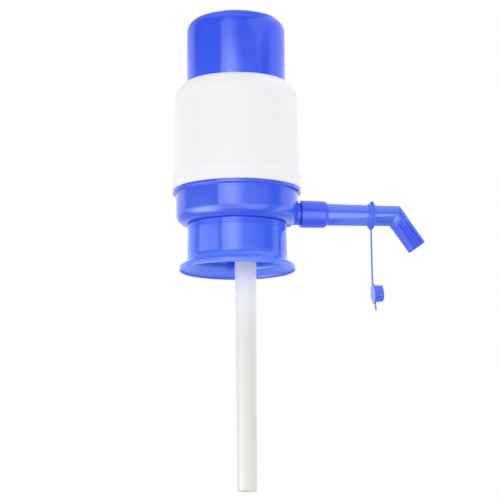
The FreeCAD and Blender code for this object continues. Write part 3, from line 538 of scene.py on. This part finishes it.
# tall lamp box in front: its left edge is crisp, its right one soft and slanted
u = plus(az, remap(tt, el, 16.4, 20.0, 0.0, 13.0))
across = times(remap(tt, az, -36.5, -31, 0, 0.66, True), remap(tt, u, -8, 18, 1.0, 0.0, True))
across = times(across, remap(tt, az, -30, -14, 1.0, 1.5, True))
bright = plus(remap(tt, el, 15.8, 20.0, 6.9, 1.75), remap(tt, el, 12.0, 7.5, 0.0, -2.1, True), remap(tt, el, 4.6, 3.0, 0.0, -3.2, True))
level = plus(level, times(across, bright, window(el, 2.0, 3.2, 38, 52)))
shoulder = times(up(u, -4, 14), remap(tt, u, 16, 70, 1.0, 0.0), remap(tt, el, 16.0, 19.0, 1.0, 0.15, True), window(el, 0, 3, 30, 40))
level = plus(level, shoulder)
# bright table top in front, fading towards the foot of the pump
table = times(remap(tt, el, 2.6, 3.9, 1, 0, True), window(az, -112, -100, 84, 112))
bright_top = remap(tt, el, -60, -32, 0.0, 1.0, True)
foot = remap(tt, az, 28, 58, 1.1, 0.35, True)
top = plus(mix(foot, 2.9, bright_top), remap(tt, el, 0.0, 4.0, 0.0, -0.7))
top = times(top, remap(tt, window(az, 50, 62, 74, 92), 0, 1, 1.0, 0.35))
level = mix(level, top, table)
level = plus(level, math_node(tt, "MULTIPLY", times(window(az, 8, 17, 36, 50), window(el, -44, -32, -4, 3)), 0.7))
level = mix(level, 0.9, times(remap(tt, el, -14, -6, 1, 0, True), inv(window(az, -112, -100, 84, 112))))
# lamp low on the left
level = plus(level, math_node(tt, "MULTIPLY", times(window(az, -102, -72, -60, -22), window(el, -80, -36, -16, 3)), 5.6))
link(tt, level, em.inputs["Strength"])

tent = add_object("tent", bm, tm)
tent.location = TENT_C
for flag in ("visible_camera", "visible_diffuse", "visible_transmission", "visible_volume_scatter", "visible_shadow"):
    setattr(tent, flag, False)


def card(name, corners, brightness, bands=()):
    """Small card close to the pump, seen only by glossy reflections.  corners run
    round the card; a band is (start, end, added brightness) as fractions of the way
    from the side between the last and first corner to the one opposite."""
    bm = bmesh.new()
    bm.faces.new([bm.verts.new(c) for c in corners])
    cm, cnt, cp = new_material(name + "_face")
    cnt.nodes.remove(cp)
    e = cnt.nodes.new("ShaderNodeEmission")
    end = next(n for n in cnt.nodes if n.type == "OUTPUT_MATERIAL")
    link(cnt, e.outputs[0], end.inputs["Surface"])
    value = remap(cnt, noise(cnt, 12.0, 1.0), 0.3, 0.7, brightness * 0.94, brightness * 1.06)
    if bands:
        along = corners[1] - corners[0]
        pos = cnt.nodes.new("ShaderNodeVectorMath")
        pos.operation = "DOT_PRODUCT"
        link(cnt, coords(cnt), pos.inputs[0])
        pos.inputs[1].default_value = along / along.length_squared
        f = math_node(cnt, "SUBTRACT", pos.outputs["Value"], corners[0].dot(along) / along.length_squared)
        for a, b, extra in bands:
            w = (b - a) * 0.3
            up_ = remap(cnt, f, a, a + w, 0, 1, True)
            down_ = remap(cnt, f, b - w, b, extra, 0, True)
            value = math_node(cnt, "ADD", value, math_node(cnt, "MULTIPLY", up_, down_))
    link(cnt, value, e.inputs["Strength"])
    o = add_object(name, bm, cm, False)
    for flag in ("visible_camera", "visible_diffuse", "visible_transmission", "visible_volume_scatter", "visible_shadow"):
        setattr(o, flag, False)
    return o


# upright pale card beside the collar
a = math.radians(-65)
d = toward * math.cos(a) + right * math.sin(a)
side = Vector((0, 0, 1)).cross(d)
card("collar_card", [d * 0.20 + side * sx * 0.095 + Vector((0, 0, z)) for sx, z in
                     ((1, 0.010), (-1, 0.010), (-1, 0.0405), (1, 0.0405))], 2.6)
# pale card lying over the spout
card("spout_card", [Vector((x, y, 0.19)) for x, y in ((0.06, -0.24), (0.24, -0.24), (0.24, 0.16), (0.06, 0.16))], 1.25)
# narrow grey card in front of the spout's leg, and a paler one below it
leg_a = math.radians(54.5)
leg_dir = Vector((math.cos(leg_a), 0, -math.sin(leg_a)))
leg_side = Vector((math.sin(leg_a), 0, math.cos(leg_a)))
elbow = Vector((0.1001, -0.0265, 0.0095))


def leg_card(name, m0, m1, t0, t1, brightness, bands=()):
    card(name, [elbow + leg_side * m0 + leg_dir * t0, elbow + leg_side * m1 + leg_dir * t0,
                elbow + leg_side * m1 + leg_dir * t1, elbow + leg_side * m0 + leg_dir * t1], brightness, bands)


leg_card("leg_card", -0.022, 0.010, 0.0035, 0.034, 0.30, ((0.38, 0.68, 0.6),))
leg_card("leg_card_low", -0.10, -0.022, 0.0055, 0.045, 0.9)
# pale card under the leg, across the two others
across_leg = elbow + leg_side * -0.034
card("leg_card_under", [across_leg + leg_dir * t + Vector((0, y, 0)) for t, y in
                        ((0.004, 0.008), (0.004, 0.034), (0.036, 0.034), (0.036, 0.008))], 1.7)
card("elbow_card", [Vector((x, y, -0.012)) for x, y in ((0.068, -0.0262), (0.0915, -0.0262), (0.0915, 0.010), (0.068, 0.010))], 1.2)
